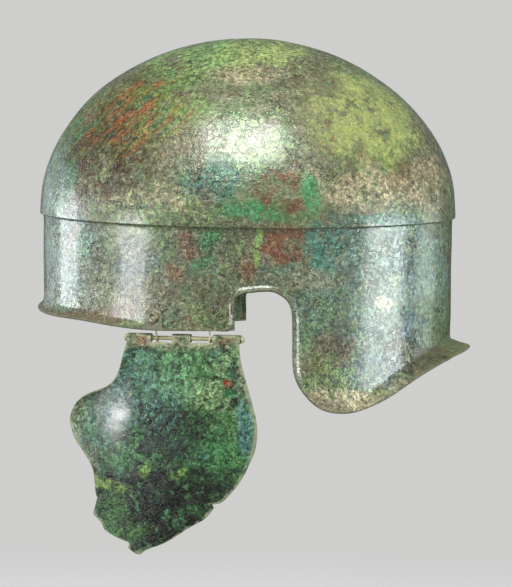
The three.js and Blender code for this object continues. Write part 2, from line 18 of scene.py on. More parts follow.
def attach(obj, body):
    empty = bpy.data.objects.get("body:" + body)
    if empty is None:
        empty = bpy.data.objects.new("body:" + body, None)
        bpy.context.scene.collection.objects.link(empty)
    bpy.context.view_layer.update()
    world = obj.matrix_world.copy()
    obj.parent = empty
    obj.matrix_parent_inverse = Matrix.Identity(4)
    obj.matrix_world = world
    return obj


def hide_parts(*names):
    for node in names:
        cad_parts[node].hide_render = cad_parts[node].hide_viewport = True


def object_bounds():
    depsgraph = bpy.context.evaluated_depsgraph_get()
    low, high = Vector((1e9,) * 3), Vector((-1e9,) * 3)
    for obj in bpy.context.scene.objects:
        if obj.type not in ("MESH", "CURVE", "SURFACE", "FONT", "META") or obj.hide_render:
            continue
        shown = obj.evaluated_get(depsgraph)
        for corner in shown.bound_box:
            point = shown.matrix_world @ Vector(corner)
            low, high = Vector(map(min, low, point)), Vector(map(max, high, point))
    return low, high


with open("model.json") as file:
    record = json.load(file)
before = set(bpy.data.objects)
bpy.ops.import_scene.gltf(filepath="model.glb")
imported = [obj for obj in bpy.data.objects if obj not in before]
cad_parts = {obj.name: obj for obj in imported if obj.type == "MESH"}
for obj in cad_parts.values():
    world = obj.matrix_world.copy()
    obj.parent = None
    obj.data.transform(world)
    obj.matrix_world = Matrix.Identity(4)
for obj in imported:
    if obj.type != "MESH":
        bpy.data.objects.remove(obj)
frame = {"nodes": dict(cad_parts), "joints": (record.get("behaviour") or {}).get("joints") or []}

cad_low, cad_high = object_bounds()
MM = 0.001
hinge = frame["joints"][0]
hinge_centre = Vector(hinge["pos_m"])
hinge_axis = -Vector(hinge["axis"]).normalized()
print("helmet from", tuple(round(v, 3) for v in cad_low), "to", tuple(round(v, 3) for v in cad_high))

# %% [markdown]
# ## Camera
# The helmet is seen from the wearer's left, level with its middle, through a long lens
# that hardly tapers it. A lens of about 190 mm on a 36 mm sensor gives the same flat
# look. The camera's three axes are worked out from its azimuth, elevation and roll, and
# set as a matrix, because a tracking constraint would lose the roll.

# %% Camera
PICTURE_WIDTH = 512
PICTURE_HEIGHT = 587
PIXELS_PER_MM = 1.82
CAMERA_DISTANCE = 1.7
CAMERA_AZIMUTH = math.radians(1.7)
CAMERA_ELEVATION = math.radians(1.2)
CAMERA_ROLL = math.radians(0.76)
CAMERA_AIM = Vector((3.5, 0.0, -138.7)) * MM


def direction(azimuth, elevation):
    """Unit vector from the helmet outwards; azimuth 0 is towards the wearer's left."""
    level = math.cos(elevation)
    return Vector((math.sin(azimuth) * level, -math.cos(azimuth) * level, math.sin(elevation)))


def make_camera():
    back = direction(CAMERA_AZIMUTH, CAMERA_ELEVATION)
    right = (-back).cross(Vector((0, 0, 1))).normalized()
    up = right.cross(-back)
    turn = Matrix.Rotation(CAMERA_ROLL, 3, back)
    right, up = turn @ right, turn @ up
    camera = bpy.data.objects.new("camera", bpy.data.cameras.new("camera"))
    bpy.context.scene.collection.objects.link(camera)
    camera.data.sensor_width = 36.0
    focal_pixels = PIXELS_PER_MM * CAMERA_DISTANCE / MM
    camera.data.lens = camera.data.sensor_width * focal_pixels / max(PICTURE_WIDTH, PICTURE_HEIGHT)
    place = CAMERA_AIM + back * CAMERA_DISTANCE
    camera.matrix_world = Matrix.Translation(place) @ Matrix((right, up, back)).transposed().to_4x4()
    camera.data.clip_end = 200
    return camera


camera = make_camera()
bpy.context.scene.camera = camera
print("camera at", tuple(round(v, 3) for v in camera.location), "lens", round(camera.data.lens, 1))

# %% [markdown]
# ## Floor and backdrop
# The helmet is held up by the head that wears it, so the floor only catches a soft
# shadow below it. The camera looks almost level, so it would see the floor's far edge.
# Far from the helmet the floor therefore turns into the colour of the backdrop, and its
# near part stays a lit surface. Polished bronze mirrors all that is round it, so what
# the metal sees of the floor is kept dim.

# %% Floor and backdrop
FLOOR_DROP = 0.11
FLOOR_RADIUS = 60.0
BACKDROP = (0.62, 0.62, 0.61)
NEAR_FLOOR = (0.44, 0.438, 0.43)
MIRRORED_FLOOR = (0.20, 0.20, 0.19)
FADE_FROM = 0.35
FADE_TO = 1.3
SKY_TINT = (0.80, 0.88, 1.0)
SKY_STRENGTH = 0.16


def new_object(name, mesh):
    thing = bpy.data.objects.new(name, mesh)
    bpy.context.scene.collection.objects.link(thing)
    return thing


def floor_material():
    material = bpy.data.materials.new("pale_floor")
    material.use_nodes = True
    tree = material.node_tree
    tree.nodes.clear()
    near, far, dim = (tree.nodes.new(kind) for kind in
                      ("ShaderNodeBsdfDiffuse", "ShaderNodeEmission", "ShaderNodeBsdfDiffuse"))
    fade, view = (tree.nodes.new("ShaderNodeMixShader") for _ in range(2))
    place, length, spread, path, out = (tree.nodes.new(kind) for kind in (
        "ShaderNodeTexCoord", "ShaderNodeVectorMath", "ShaderNodeMapRange", "ShaderNodeLightPath",
        "ShaderNodeOutputMaterial"))
    near.inputs["Color"].default_value = (*NEAR_FLOOR, 1)
    dim.inputs["Color"].default_value = (*MIRRORED_FLOOR, 1)
    far.inputs["Color"].default_value = (*BACKDROP, 1)
    length.operation = "LENGTH"
    spread.interpolation_type = "SMOOTHSTEP"
    spread.inputs["From Min"].default_value = FADE_FROM
    spread.inputs["From Max"].default_value = FADE_TO
    for source, sink in ((place.outputs["Object"], length.inputs[0]),
                         (length.outputs["Value"], spread.inputs["Value"]),
                         (spread.outputs["Result"], fade.inputs["Fac"]),
                         (near.outputs[0], fade.inputs[1]), (far.outputs[0], fade.inputs[2]),
                         (path.outputs["Is Camera Ray"], view.inputs["Fac"]),
                         (dim.outputs[0], view.inputs[1]), (fade.outputs[0], view.inputs[2]),
                         (view.outputs[0], out.inputs["Surface"])):
        tree.links.new(source, sink)
    return material


def make_floor():
    form = bmesh.new()
    bmesh.ops.create_circle(form, cap_ends=True, segments=96, radius=FLOOR_RADIUS)
    mesh = bpy.data.meshes.new("floor")
    form.to_mesh(mesh)
    form.free()
    mesh.materials.append(floor_material())
    thing = new_object("floor", mesh)
    thing.location.z = cad_low.z - FLOOR_DROP
    return thing


def make_world():
    world = bpy.data.worlds.new("studio")
    world.use_nodes = True
    tree = world.node_tree
    tree.nodes.clear()
    out = tree.nodes.new("ShaderNodeOutputWorld")
    mix = tree.nodes.new("ShaderNodeMixShader")
    lit = tree.nodes.new("ShaderNodeBackground")
    seen = tree.nodes.new("ShaderNodeBackground")
    path = tree.nodes.new("ShaderNodeLightPath")
    seen.inputs["Color"].default_value = (*BACKDROP, 1)
    lit.inputs["Color"].default_value = (*SKY_TINT, 1)
    lit.inputs["Strength"].default_value = SKY_STRENGTH
    tree.links.new(path.outputs["Is Camera Ray"], mix.inputs["Fac"])
    tree.links.new(lit.outputs[0], mix.inputs[1])
    tree.links.new(seen.outputs[0], mix.inputs[2])
    tree.links.new(mix.outputs[0], out.inputs["Surface"])
    bpy.context.scene.world = world


floor = make_floor()
make_world()
bpy.context.scene.view_settings.view_transform = "Standard"
print("floor at", round(floor.location.z, 3))

# %% [markdown]
# ## Light
# Polished patina is read by its highlights. A broad softbox above the camera makes the
# bright patch on the dome, and tall softboxes left and right make the upright bands on
# the side wall. Each stands where a mirror on the wall would send it to the camera.
# Three soft fills light the top, the back and the hollow behind the ear opening, and leave
# no highlight.

# %% Light
LIGHT_CENTRE = Vector((0.0, 0.0, -0.12))


def softbox(name, azimuth, elevation, distance, width, height, glow, colour):
    """Area light facing the helmet. Angles in degrees, sizes in metres, glow is its radiance."""
    lamp = bpy.data.lights.new(name, "AREA")
    lamp.shape = "RECTANGLE"
    lamp.size = width
    lamp.size_y = height
    lamp.energy = glow * math.pi * width * height
    lamp.color = colour
    thing = bpy.data.objects.new(name, lamp)
    bpy.context.scene.collection.objects.link(thing)
    back = direction(math.radians(azimuth), math.radians(elevation))
    thing.location = LIGHT_CENTRE + back * distance
    thing.rotation_euler = back.to_track_quat("Z", "Y").to_euler()
    return thing


# name, azimuth, elevation, distance, width, height, glow, colour
MIRRORED_LAMPS = (
    ("key_above_camera", -3, 47, 1.5, 0.84, 0.62, 18, (1, 1, 1)),
    ("left_softbox", -55, -7, 1.5, 0.44, 0.60, 21, (0.97, 0.97, 1.0)),
    ("left_rear_softbox", -104, -3, 1.5, 0.56, 0.80, 12, (0.90, 0.95, 1.0)),
    ("left_far_softbox", -138, 0, 1.5, 0.60, 0.80, 1.0, (0.74, 0.93, 1.0)),
    ("right_softbox", 70, -7, 1.5, 0.70, 0.60, 19, (0.90, 0.97, 1.0)),
    ("right_rear_softbox", 108, -5, 1.5, 0.50, 0.65, 4, (0.82, 0.98, 0.92)),
)
FILL_LAMPS = (
    ("top_fill", 20, 80, 1.6, 0.9, 0.9, 6, (1, 1, 1)),
    ("back_fill", 180, 45, 1.6, 0.9, 0.9, 7, (1, 1, 1)),
    ("ear_fill", 6, -4, 1.5, 0.25, 0.25, 14, (1, 1, 1)),
)
for lamp_row in MIRRORED_LAMPS:
    softbox(*lamp_row)
for lamp_row in FILL_LAMPS:
    softbox(*lamp_row).visible_glossy = False
print("lights:", len(bpy.data.lights))

# %% [markdown]
# ## Short ways to write shader nodes
# A shader tree is a list of boxes and wires. These helpers make a box, set its plain
# values and wire what is already a socket, so that a whole pattern reads like a sum.

# %% Node helpers


class Wiring:
    """Adds nodes to one tree. A value is either a plain number or colour, or a socket."""

    def __init__(self, tree):
        self.tree = tree

    def put(self, socket, value):
        if isinstance(value, bpy.types.NodeSocket):
            self.tree.links.new(value, socket)
        elif isinstance(value, (tuple, Vector)) and len(value) == 3 and socket.type == "RGBA":
            socket.default_value = (*value, 1)
        else:
            socket.default_value = value

    def add(self, kind, settings=(), **values):
        node = self.tree.nodes.new(kind)
        for key, value in dict(settings).items():
            setattr(node, key, value)
        for key, value in values.items():
            self.put(node.inputs[key], value)
        return node

    def math(self, operation, *values):
        node = self.tree.nodes.new("ShaderNodeMath")
        node.operation = operation
        for socket, value in zip(node.inputs, values):
            self.put(socket, value)
        return node.outputs[0]

    def vector(self, operation, *values):
        node = self.tree.nodes.new("ShaderNodeVectorMath")
        node.operation = operation
        for socket, value in zip(node.inputs, values):
            self.put(socket, value)
        return node.outputs["Value" if operation == "LENGTH" else "Vector"]

    def noise(self, place, size, detail, rough, colour=False):
        """Noise whose spots are about size metres across."""
        node = self.add("ShaderNodeTexNoise", Vector=place, Scale=1 / size, Detail=detail, Roughness=rough)
        return node.outputs["Color"] if colour else node.outputs["Fac"]

    def ramp(self, value, low, high, smooth=True):
        """0 below low and 1 above high; low may be the larger one."""
        node = self.add("ShaderNodeMapRange", {"interpolation_type": "SMOOTHSTEP" if smooth else "LINEAR"})
        self.put(node.inputs["Value"], value)
        self.put(node.inputs["From Min"], low)
        self.put(node.inputs["From Max"], high)
        return node.outputs["Result"]

    def mix(self, share, first, second, blend="MIX"):
        node = self.tree.nodes.new("ShaderNodeMix")
        node.data_type = "RGBA"
        node.blend_type = blend
        self.put(node.inputs[0], share)
        self.put(node.inputs[6], first)
        self.put(node.inputs[7], second)
        return node.outputs[2]

    def group(self, tree, **values):
        node = self.tree.nodes.new("ShaderNodeGroup")
        node.node_tree = tree
        for key, value in values.items():
            self.put(node.inputs[key], value)
        return node.outputs


def new_group(name, inputs, outputs):
    """Empty node group with named sockets, and the wiring to fill it."""
    tree = bpy.data.node_groups.new(name, "ShaderNodeTree")
    for socket, (kind, value) in inputs.items():
        made = tree.interface.new_socket(socket, in_out="INPUT", socket_type=kind)
        if value is not None:
            made.default_value = value
    for socket, kind in outputs.items():
        tree.interface.new_socket(socket, in_out="OUTPUT", socket_type=kind)
    wiring = Wiring(tree)
    source = tree.nodes.new("NodeGroupInput").outputs
    sink = tree.nodes.new("NodeGroupOutput").inputs
    return tree, wiring, source, sink


FLOAT = "NodeSocketFloat"
VECTOR = "NodeSocketVector"
print("node helpers ready")

# %% [markdown]
# ## Effects that the bronze pieces share
# Four effects come back on the metal. A blot is one stain at a given place, specks are
# small crumbs of mineral, streaks are thin stains that run one way, and the grain is the
# fine pitting that breaks up the shine. Each is a node group, so that one change reaches
# every material that uses it.

# %% Blot: one stain at a place


def make_blot_group():
    tree, w, source, sink = new_group(
        "Blot",
        {"Place": (VECTOR, None), "Centre": (VECTOR, None), "Reach": (VECTOR, (0.02, 0.05, 0.02)),
         "Turn": (FLOAT, 0.0), "Strength": (FLOAT, 1.0)},
        {"Mask": FLOAT})
    away = w.vector("SUBTRACT", source["Place"], source["Centre"])
    turned = w.add("ShaderNodeVectorRotate", {"rotation_type": "Y_AXIS"}, Vector=away, Angle=source["Turn"])
    scaled = w.vector("DIVIDE", turned.outputs[0], source["Reach"])
    mask = w.ramp(w.vector("LENGTH", scaled), 1.2, 0.5)
    w.put(sink["Mask"], w.math("MULTIPLY", mask, source["Strength"]))
    return tree


BLOT = make_blot_group()
print("made", BLOT.name)

# %% Specks: crumbs of mineral


def make_speck_group():
    """Round crumbs about Size across; Cover is how much of the surface they take."""
    tree, w, source, sink = new_group(
        "Specks",
        {"Place": (VECTOR, None), "Size": (FLOAT, 0.002), "Cover": (FLOAT, 0.3)},
        {"Mask": FLOAT})
    scale = w.math("DIVIDE", 1.0, source["Size"])
    ragged = w.add("ShaderNodeTexNoise", Vector=source["Place"], Scale=scale, Detail=2.0, Roughness=0.7)
    crumbs = w.add("ShaderNodeTexVoronoi", Vector=source["Place"], Scale=scale, Randomness=1.0)
    field = w.math("ADD", crumbs.outputs["Distance"], w.math("MULTIPLY", ragged.outputs["Fac"], 0.6))
    edge = w.math("MULTIPLY_ADD", source["Cover"], 0.75, 0.22)
    w.put(sink["Mask"], w.ramp(field, edge, w.math("SUBTRACT", edge, 0.10)))
    return tree


SPECKS = make_speck_group()
print("made", SPECKS.name)

# %% Streaks: thin stains that run one way


def make_streak_group():
    """Strips Long by Wide metres, turned about Y; Cover is the share of surface taken."""
    tree, w, source, sink = new_group(
        "Streaks",
        {"Place": (VECTOR, None), "Turn": (FLOAT, 0.0), "Long": (FLOAT, 0.02), "Wide": (FLOAT, 0.004),
         "Cover": (FLOAT, 0.3)},
        {"Mask": FLOAT})
    turned = w.add("ShaderNodeVectorRotate", {"rotation_type": "Y_AXIS"}, Vector=source["Place"],
                   Angle=source["Turn"])
    lengths = w.add("ShaderNodeCombineXYZ", X=source["Long"], Y=source["Long"], Z=source["Wide"])
    drawn = w.vector("DIVIDE", turned.outputs[0], lengths.outputs[0])
    field = w.add("ShaderNodeTexNoise", Vector=drawn, Scale=1.0, Detail=5.0, Roughness=0.75)
    edge = w.math("MULTIPLY_ADD", source["Cover"], -0.32, 0.66)
    w.put(sink["Mask"], w.ramp(field.outputs["Fac"], edge, w.math("ADD", edge, 0.16)))
    return tree


STREAKS = make_streak_group()
print("made", STREAKS.name)

# %% Grain: the fine pitting
# sizes in metres
FINE_GRAIN = 0.0012
MEDIUM_GRAIN = 0.0026
BROAD_GRAIN = 0.0075
PIT_SIZE = 0.0021
FOLD_SIZE = 0.0060
FOLD_PATCH = 0.030


def make_grain_group():
    """Calm between 0 and 1 takes the contrast out of the grain where the metal is clean."""
    tree, w, source, sink = new_group(
        "Grain",
        {"Place": (VECTOR, None), "Calm": (FLOAT, 0.0)},
        {"Height": FLOAT, "Shade": FLOAT, "Dullness": FLOAT})
    fine = w.noise(source["Place"], FINE_GRAIN, 2, 0.7)
    medium = w.noise(source["Place"], MEDIUM_GRAIN, 3, 0.7)
    broad = w.noise(source["Place"], BROAD_GRAIN, 3, 0.65)
    pits = w.ramp(w.noise(source["Place"], PIT_SIZE, 2, 0.6), 0.40, 0.50)
    fold = w.math("ABSOLUTE", w.math("SUBTRACT", w.noise(source["Place"], FOLD_SIZE, 3, 0.6), 0.5))
    few = w.ramp(w.noise(source["Place"], FOLD_PATCH, 2, 0.5), 0.44, 0.60)
    crease = w.math("MULTIPLY", w.ramp(fold, 0.035, 0.0), few)
    height = w.math("MULTIPLY_ADD", fine, 0.42, w.math("MULTIPLY", medium, 0.55))
    height = w.math("MULTIPLY_ADD", crease, -0.75, height)
    height = w.math("MULTIPLY_ADD", broad, 0.65, height)
    shade = w.math("MULTIPLY_ADD", w.ramp(fine, 0.34, 0.66, False), 0.95, 0.40)
    shade = w.math("MULTIPLY", shade, w.math("MULTIPLY_ADD", w.ramp(medium, 0.34, 0.66, False), 1.0, 0.45))
    shade = w.math("MULTIPLY", shade, w.math("MULTIPLY_ADD", pits, 0.55, 0.60))
    busy = w.math("MULTIPLY_ADD", source["Calm"], -0.75, 1.0)
    w.put(sink["Height"], w.math("MULTIPLY", w.math("MULTIPLY_ADD", pits, 0.20, height), busy))
    plain = w.math("MULTIPLY", w.math("SUBTRACT", shade, 0.86), busy)
    # the creases are also painted darker in the colour: painted shade in the folds
    w.put(sink["Shade"], w.math("MULTIPLY_ADD", crease, -0.22, w.math("ADD", plain, 0.90)))
    w.put(sink["Dullness"], w.math("MULTIPLY_ADD", medium, 0.55, w.math("MULTIPLY", fine, 0.45)))
    return tree


GRAIN = make_grain_group()
print("made", GRAIN.name)

# %% [markdown]
# ## Patina of the bowl
# The ground colour is a mottled olive green. Over it lie the stains that make this
# helmet its own: orange streaks and a dark brown field on the left of the dome, a bright
# yellow-green shoulder on the right, a pink-tan belt above the ridge, a red-brown patch
# in the middle and teal shadows on the wall. Their places are a short table in
# millimetres, and noise bends the table's ovals into ragged natural stains.

# %% Patina colours
OLIVE = (0.115, 0.118, 0.062)
LEAF = (0.110, 0.170, 0.062)
SILT = (0.165, 0.168, 0.105)
GRASS = (0.185, 0.325, 0.095)
YELLOW_GREEN = (0.300, 0.340, 0.110)
EMERALD = (0.030, 0.200, 0.070)
PALE_GREEN = (0.330, 0.520, 0.260)
TEAL = (0.050, 0.150, 0.105)
GREY_BLUE = (0.120, 0.175, 0.165)
BROWN = (0.095, 0.068, 0.030)
RED_BROWN = (0.150, 0.062, 0.030)
ORANGE = (0.270, 0.078, 0.024)
CREAM = (0.520, 0.500, 0.310)
PINK_TAN = (0.385, 0.320, 0.190)
DARK = (0.020, 0.026, 0.016)

# name, colour, x, y, z, reach along x, reach along z, turn in degrees, strength
BOWL_STAINS = (
    ("leaf crown", GRASS, -20, -30, -10, 52, 20, 0, 0.7),
    ("yellow shoulder", YELLOW_GREEN, 62, -50, -44, 45, 32, 24, 0.9),
    ("yellow top", YELLOW_GREEN, 8, -30, -9, 26, 12, 5, 0.6),
    ("grey crown", PINK_TAN, -2, -40, -22, 22, 7, 0, 0.5),
    ("tan belt right", PINK_TAN, 62, -70, -83, 38, 13, 0, 0.8),
    ("tan belt rear", PINK_TAN, 96, -40, -78, 14, 16, 0, 0.6),
    ("red rear", RED_BROWN, 80, -55, -74, 7, 10, 0, 0.45),
    ("tan field left", PINK_TAN, -46, -72, -86, 32, 10, 0, 0.4),
    ("gold ground", (0.070, 0.066, 0.014), -72, -50, -46, 42, 26, 38, 0.9),
    ("leaf field", (0.120, 0.200, 0.050), -42, -64, -42, 26, 20, 30, 0.8),
    ("brown field", (0.046, 0.034, 0.010), -76, -54, -68, 38, 23, 10, 1.5),
    ("brown fringe", BROWN, -88, -36, -82, 7, 20, -12, 0.6),
    ("green edge", EMERALD, -97, -30, -80, 6, 18, -12, 0.5),
    # grey-blue at the dome's left edge, partly a painted sheen of the rim light
    ("grey-blue edge with painted sheen", GREY_BLUE, -106, -20, -78, 8, 30, -8, 0.7),
    ("teal under highlight", TEAL, -12, -84, -78, 26, 12, 0, 0.8),
    ("emerald centre", EMERALD, 8, -88, -94, 26, 6, 0, 0.75),
    ("red centre", (0.125, 0.058, 0.030), 18, -88, -85, 16, 11, -8, 0.95),
    ("emerald right", EMERALD, 34, -86, -84, 6, 12, 10, 0.8),
    ("teal above ridge", TEAL, 70, -66, -98, 26, 4, 0, 0.9),
    ("teal wall", (0.075, 0.135, 0.100), 58, -74, -134, 58, 44, 0, 0.85),
    ("green wall left", (0.075, 0.115, 0.060), -36, -84, -125, 46, 30, 0, 0.6),
    ("red on wall", RED_BROWN, -30, -86, -112, 6, 10, 25, 0.6),
    ("red on wall lower", RED_BROWN, -38, -86, -126, 7.5, 5, -25, 0.6),
    ("emerald on wall", EMERALD, -18, -88, -109, 9, 4.5, 30, 0.6),
    ("emerald on wall two", EMERALD, -22, -88, -121, 8, 4, 20, 0.55),
    ("emerald on wall three", EMERALD, -31, -86, -137, 5, 6, 10, 0.6),
    ("emerald by brow", EMERALD, -86, -50, -112, 7, 9, 15, 0.6),
    ("red by brow", RED_BROWN, -93, -44, -108, 4, 6, 0, 0.5),
    ("teal silver", (0.07, 0.11, 0.12), -60, -74, -122, 12, 14, 20, 0.6),
    ("bright drip", GRASS, 7, -90, -113, 2.8, 12, 0, 0.95),
    ("red over ear", RED_BROWN, 20, -88, -112, 13, 11, 0, 0.9),
    ("red under drip", RED_BROWN, 2, -88, -124, 6, 8, 0, 0.6),
    ("teal by ear", TEAL, 44, -82, -112, 15, 14, 0, 0.9),
    ("tan over ear", PINK_TAN, 34, -84, -130, 18, 6, 0, 0.25),
    ("blue wall right", GREY_BLUE, 90, -60, -118, 18, 26, 0, 0.7),
    ("blue wall low", (0.05, 0.10, 0.13), 88, -60, -156, 10, 12, 30, 0.7),
    ("blue wall lower", (0.05, 0.10, 0.13), 66, -70, -176, 22, 12, 0, 0.5),
    ("blue wall left", GREY_BLUE, -92, -40, -118, 26, 34, 0, 0.6),
    ("dark wall middle", BROWN, -34, -84, -138, 30, 10, 0, 0.5),
    ("dark behind ear", DARK, 50, -80, -148, 7, 30, 0, 0.35),
    ("lobe brown", RED_BROWN, 44, -82, -168, 12, 14, 10, 0.45),
    ("lobe tan", PINK_TAN, 50, -76, -193, 26, 7, 0, 0.75),
    ("flange tan", (0.044, 0.046, 0.024), 98, -40, -172, 28, 10, -28, 1.4),
    ("brow band", (0.130, 0.100, 0.052), -82, -60, -151, 40, 5.5, 8, 1.5),
    ("pale teal rear", (0.17, 0.26, 0.20), 102, -40, -124, 11, 28, 0, 0.8),
    ("leaf rear low", LEAF, 104, -40, -152, 14, 10, -20, 0.7),
    ("cream spot", CREAM, 73, -68, -141, 6, 3, -20, 1.0),
    ("far leaf", GRASS, 46, 55, -46, 46, 26, -20, 0.7),
    ("far yellow", YELLOW_GREEN, -40, 50, -30, 34, 18, 20, 0.6),
    ("far brown", BROWN, 10, 80, -70, 34, 16, 0, 0.9),
    ("far tan", PINK_TAN, -58, 70, -86, 34, 10, 0, 0.7),
    ("far teal", TEAL, 60, 74, -130, 40, 30, 0, 0.7),
    ("far red", RED_BROWN, -20, 88, -112, 20, 12, 0, 0.8),
    ("far emerald", EMERALD, 12, 88, -106, 14, 9, 0, 0.7),
    ("far grey", GREY_BLUE, -80, 56, -124, 28, 22, 0, 0.6),
)

# name, colour, x, y, z, reach along x, reach along z, turn, streak length, streak width, cover
BOWL_STREAKS = (
    ("green streaks", (0.035, 0.130, 0.055), -70, -45, -40, 54, 32, 44, 24, 4, 0.55),
    ("gold streaks", (0.16, 0.15, 0.035), -64, -50, -48, 56, 36, 44, 20, 3, 0.50),
    ("orange streaks", (0.20, 0.070, 0.024), -62, -52, -44, 48, 30, 42, 14, 3.4, 0.60),
    ("dark streaks", (0.05, 0.06, 0.045), -78, -44, -46, 34, 26, 48, 13, 2.5, 0.42),
    ("grey arcs", (0.30, 0.30, 0.19), -4, -60, -30, 46, 16, -3, 26, 1.4, 0.35),
    ("red flecks", ORANGE, 44, -66, -50, 30, 26, -40, 6, 2.2, 0.24),
)

# %% Patina of the bowl
# sizes in metres, but the reach of a little stain is in millimetres, as in the tables
BROAD_MOTTLE = 0.050
MIDDLE_MOTTLE = 0.012
SMALL_MOTTLE = 0.0038
BEND_SIZE = 0.020
WIDE_BEND = 0.045
SLIGHT_BEND = 0.010
LITTLE_STAIN = 8


def stain_mask(w, place, x, y, z, across, high, turn=0.0, strength=1.0, deep=60):
    """Mask of one stain: centre and reach in millimetres, turn in degrees."""
    blot = w.group(BLOT, Place=place, Centre=(x * MM, y * MM, z * MM),
                   Reach=(across * MM, deep * MM, high * MM), Turn=math.radians(turn), Strength=strength)
    return blot["Mask"]


def patina(w, place, stains, clouds, ground, light, dark):
    """Mottled and clouded ground with the table's stains over it; small stains bend less."""
    broad = w.noise(place, BROAD_MOTTLE, 3, 0.6)
    middle = w.noise(place, MIDDLE_MOTTLE, 4, 0.7)
    small = w.noise(place, SMALL_MOTTLE, 4, 0.75)
    colour = w.mix(w.ramp(broad, 0.40, 0.60), ground, light)
    colour = w.mix(w.math("MULTIPLY", w.ramp(middle, 0.54, 0.66), 0.7), colour, dark)
    colour = clouded(w, place, colour, clouds)
    bend = w.noise(place, BEND_SIZE, 4, 0.7, colour=True)
    bend = w.vector("SUBTRACT", bend, (0.5, 0.5, 0.5))
    bent = w.vector("ADD", place, w.vector("MULTIPLY", bend, (WIDE_BEND,) * 3))
    near = w.vector("ADD", place, w.vector("MULTIPLY", bend, (SLIGHT_BEND,) * 3))
    patchy = w.ramp(w.math("MULTIPLY_ADD", middle, 0.55, w.math("MULTIPLY", small, 0.45)), 0.40, 0.54)
    close = w.ramp(small, 0.34, 0.50)
    for name, tint, x, y, z, across, high, turn, strength in stains:
        little = min(across, high) < LITTLE_STAIN
        mask = stain_mask(w, near if little else bent, x, y, z, across, high, turn, strength, deep=40)
        colour = w.mix(w.math("MULTIPLY", mask, close if little else patchy), colour, tint)
    return colour


def clouded(w, place, colour, clouds):
    """Adds rows of ragged clouds: colour, size in mm, threshold, softness, strength."""
    for number, (tint, size, threshold, softness, strength) in enumerate(clouds):
        shifted = w.vector("ADD", place, (0.41 * number, 0.29 * number, 0.13 * number))
        mask = w.ramp(w.noise(shifted, size * MM, 4, 0.68), threshold, threshold + softness)
        colour = w.mix(w.math("MULTIPLY", mask, strength), colour, tint)
    return colour


def streaked(w, place, colour, streaks):
    """Adds rows of thin turned stains, each inside its own oval."""
    for number, (name, tint, x, y, z, across, high, turn, long, wide, cover) in enumerate(streaks):
        zone = stain_mask(w, place, x, y, z, across, high)
        shifted = w.vector("ADD", place, (0.31 * number, 0.0, 0.17 * number))
        strips = w.group(STREAKS, Place=shifted, Turn=math.radians(turn), Long=long * MM, Wide=wide * MM,
                         Cover=w.math("MULTIPLY", zone, cover))["Mask"]
        colour = w.mix(w.math("MULTIPLY", strips, w.ramp(zone, 0.0, 0.3)), colour, tint)
    return colour


def speckled(w, place, colour, specks, bare=0.0):
    """Adds rows of crumbs: colour, size in mm, cover, strength. Bare is where they are few."""
    for number, (tint, size, cover, strength) in enumerate(specks):
        shifted = w.vector("ADD", place, (0.11 * number, 0.23 * number, 0.37 * number))
        patchy = w.ramp(w.noise(shifted, 0.024, 2, 0.6), 0.38, 0.60)
        if tint != DARK:
            patchy = w.math("MULTIPLY", patchy, w.math("MULTIPLY_ADD", bare, -1.0, 1.0))
        crumbs = w.group(SPECKS, Place=shifted, Size=size * MM, Cover=w.math("MULTIPLY", patchy, cover))
        colour = w.mix(w.math("MULTIPLY", crumbs["Mask"], strength), colour, tint)
    return colour


def bronze_material(name):
    material = bpy.data.materials.new(name)
    material.use_nodes = True
    w = Wiring(material.node_tree)
    place = w.add("ShaderNodeTexCoord").outputs["Object"]
    shader = material.node_tree.nodes["Principled BSDF"]
    return material, w, place, shader


# colours of the crusty inside, painted paler than the coat itself as painted light on the inner wall
INSIDE_CRUST_AND_LIGHT = (0.260, 0.275, 0.170)
INSIDE_GREEN_AND_LIGHT = (0.200, 0.300, 0.175)
# pale worn metal on what stands out, partly a painted highlight on crests such as the ridge
RUBBED_METAL_AND_HIGHLIGHT = (0.42, 0.42, 0.30)
WAX_ROUGHNESS = 0.17


